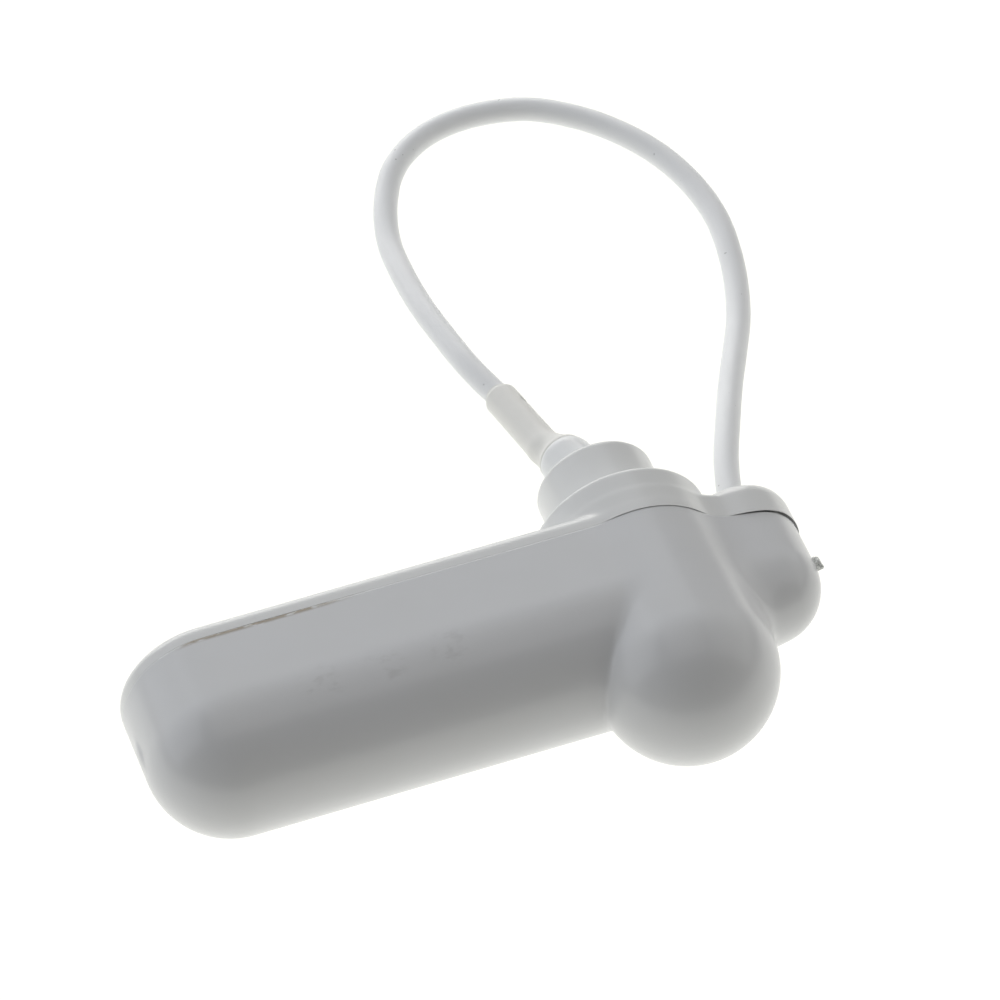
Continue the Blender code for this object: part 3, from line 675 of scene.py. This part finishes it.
MATERIALS = {
    "casing_plastic": moulded_plastic("casing_plastic", (0.70, 0.705, 0.72), (0.69, 0.695, 0.705), 0.3, 0.25,
                                      casing_grime),
    "cover_plastic": moulded_plastic("cover_plastic", (0.76, 0.765, 0.765), (0.75, 0.755, 0.755), 0.3, 0.25),
    "plug_plastic": moulded_plastic("plug_plastic", (0.86, 0.87, 0.88), (0.83, 0.84, 0.85), 0.36, 0.2),
    "sleeve_plastic": moulded_plastic("sleeve_plastic", (0.82, 0.815, 0.79), (0.80, 0.795, 0.77), 0.45, 0.0,
                                      sleeve_nick_darkening),
    "cable_pvc": cable_vinyl(),
    "steel": turned_steel(),
    "ferrite": grained("ferrite", (0.09, 0.09, 0.095), (0.04, 0.04, 0.045), 0.35, 0.6, 0.03),
    "nylon": grained("nylon", (0.84, 0.83, 0.79), (0.78, 0.77, 0.72), 1.5, 0.42, 0.03),
    "copper": copper_winding(),
    "ceramic": grained("ceramic", (0.66, 0.4, 0.15), (0.55, 0.3, 0.1), 0.8, 0.35, 0.05),
    "foam": grained("foam", (0.88, 0.87, 0.83), (0.62, 0.61, 0.57), 0.3, 0.9, 0.15),
}


# Light and camera

TARGET = (0.0067, 0.0134, 0.0136)
AZIMUTH = -16.5
ELEVATION = 47.2
ROLL = 3.6
DISTANCE = 0.6
LENS = 236


def direction_from(azimuth, elevation):
    a, e = radians(azimuth), radians(elevation)
    return Vector((sin(a) * cos(e), -cos(a) * cos(e), sin(e)))


def make_camera():
    camera = bpy.data.objects.new("camera", bpy.data.cameras.new("camera"))
    bpy.context.collection.objects.link(camera)
    back = direction_from(AZIMUTH, ELEVATION)
    camera.location = Vector(TARGET) + back * DISTANCE
    upright = back.to_track_quat("Z", "Y").to_matrix().to_4x4()
    camera.rotation_mode = "QUATERNION"
    camera.rotation_quaternion = (upright @ Matrix.Rotation(radians(-ROLL), 4, "Z")).to_quaternion()
    camera.data.lens = LENS
    camera.data.clip_start = 0.01
    camera.data.clip_end = 20
    bpy.context.scene.camera = camera


COOL = (0.92, 0.955, 1.0)
NEUTRAL = (1.0, 1.0, 0.98)
WARM = (1.0, 0.985, 0.955)
LIGHT_DISTANCE = 0.7
SOFTBOXES = (               # (azimuth, elevation, width, height, strength, tint)
    (180, 12, 0.8, 0.35, 2.6, WARM),        # low sweep behind the tag, which lights its upper edges
    (180, 50, 0.7, 0.5, 0.8, COOL),         # high behind
    (0, 88, 0.6, 0.6, 0.75, WARM),          # ceiling
    (95, 35, 0.8, 0.7, 0.8, NEUTRAL),       # right wall
    (-110, 30, 0.8, 0.7, 1.0, COOL),        # left wall
)
FLOOR_NEAR = (1.1, 1.1, 1.05)
FLOOR_FAR = (0.5, 0.5, 0.5)
FLOOR_GLOW_RADIUS = 90      # mm round the tag that glow at full strength
WORLD = 0.02


def make_softbox(azimuth, elevation, width, height, strength, colour):
    """A rectangular panel that faces the tag. strength is its brightness, where 1 is a white wall's."""
    light = bpy.data.lights.new("softbox", "AREA")
    light.shape = "RECTANGLE"
    light.size, light.size_y = width, height
    light.energy = strength * pi * width * height
    light.color = colour
    obj = bpy.data.objects.new("softbox", light)
    towards = direction_from(azimuth, elevation)
    obj.location = Vector(TARGET) + towards * LIGHT_DISTANCE
    obj.rotation_mode = "QUATERNION"
    obj.rotation_quaternion = towards.to_track_quat("Z", "Y")
    obj.visible_camera = False
    bpy.context.collection.objects.link(obj)


def make_floor():
    """A wide table that glows like a light table round the tag, and is dimmer further out."""
    bm = bmesh.new()
    bmesh.ops.create_circle(bm, cap_ends=True, segments=96, radius=3.0)
    mesh = bpy.data.meshes.new("floor")
    bm.to_mesh(mesh)
    bm.free()
    floor = bpy.data.objects.new("floor", mesh)
    floor.location = (TARGET[0], TARGET[1], -0.0002)
    bpy.context.collection.objects.link(floor)
    n = Nodes("light_table")
    far = n.between(n.vector("LENGTH", n.place), FLOOR_GLOW_RADIUS, 2 * FLOOR_GLOW_RADIUS)
    n.shader.inputs["Base Color"].default_value = (0, 0, 0, 1)
    n.shader.inputs["Roughness"].default_value = 1.0
    n.shader.inputs["Specular IOR Level"].default_value = 0.0
    n.shader.inputs["Emission Strength"].default_value = 1.0
    n.link(n.mix(far, FLOOR_NEAR, FLOOR_FAR), n.shader.inputs["Emission Color"])
    floor.data.materials.append(n.material)


def make_world():
    world = bpy.data.worlds.new("world")
    world.use_nodes = True
    world.node_tree.nodes["Background"].inputs[0].default_value = (WORLD, WORLD, WORLD, 1)
    bpy.context.scene.world = world


make_camera()
make_world()
make_floor()
for softbox in SOFTBOXES:
    make_softbox(*softbox)
bpy.context.scene.view_settings.view_transform = "Standard"

# Pieces
low_corner = (-ARM_LENGTH - 1, -10, -LOCK_WALL - LOCK_RADIUS - 1)
casing = main_moulding("casing_moulding", casing_field, low_corner, (17, 10, 1), casing_rim, -1)
finished(casing, "casing", MATERIALS["casing_plastic"], "casing_plastic", "lower_casing")
cover = main_moulding("cover_moulding", cover_field, (-ARM_LENGTH - 1, -10, -1), (17, 10, 13), cover_rim, 1)
finished(cover, "casing", MATERIALS["cover_plastic"], "cover_plastic", "top_cover")

head = plug_piece("plug_head_moulding", HEAD_OUTLINE, 5, 64, head_station)
finished(head, "plug", MATERIALS["plug_plastic"], "plug_plastic", "plug_head")
sleeve = plug_piece("sleeve_moulding", SLEEVE_OUTLINE, 12, 72, sleeve_station, sleeve_nick)
finished(sleeve, "plug", MATERIALS["sleeve_plastic"], "sleeve_plastic", "cable_sleeve")

crimp = plug_piece("crimp_moulding", CRIMP_OUTLINE, 4, 32, sleeve_station)
finished(crimp, "plug", MATERIALS["steel"], "steel", "crimp_ferrule")
make_spring()
make_glue_bead(clear_glue())
cable, cable_line = make_cable(MATERIALS["cable_pvc"])
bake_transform(cable)

# Every CAD node that stays gets the finish of its slot in the record
for subpart in frame["record"]["subparts"]:
    for place in frame["nodes"][subpart["node"]].material_slots:
        place.material = MATERIALS[subpart["material_slot"]]
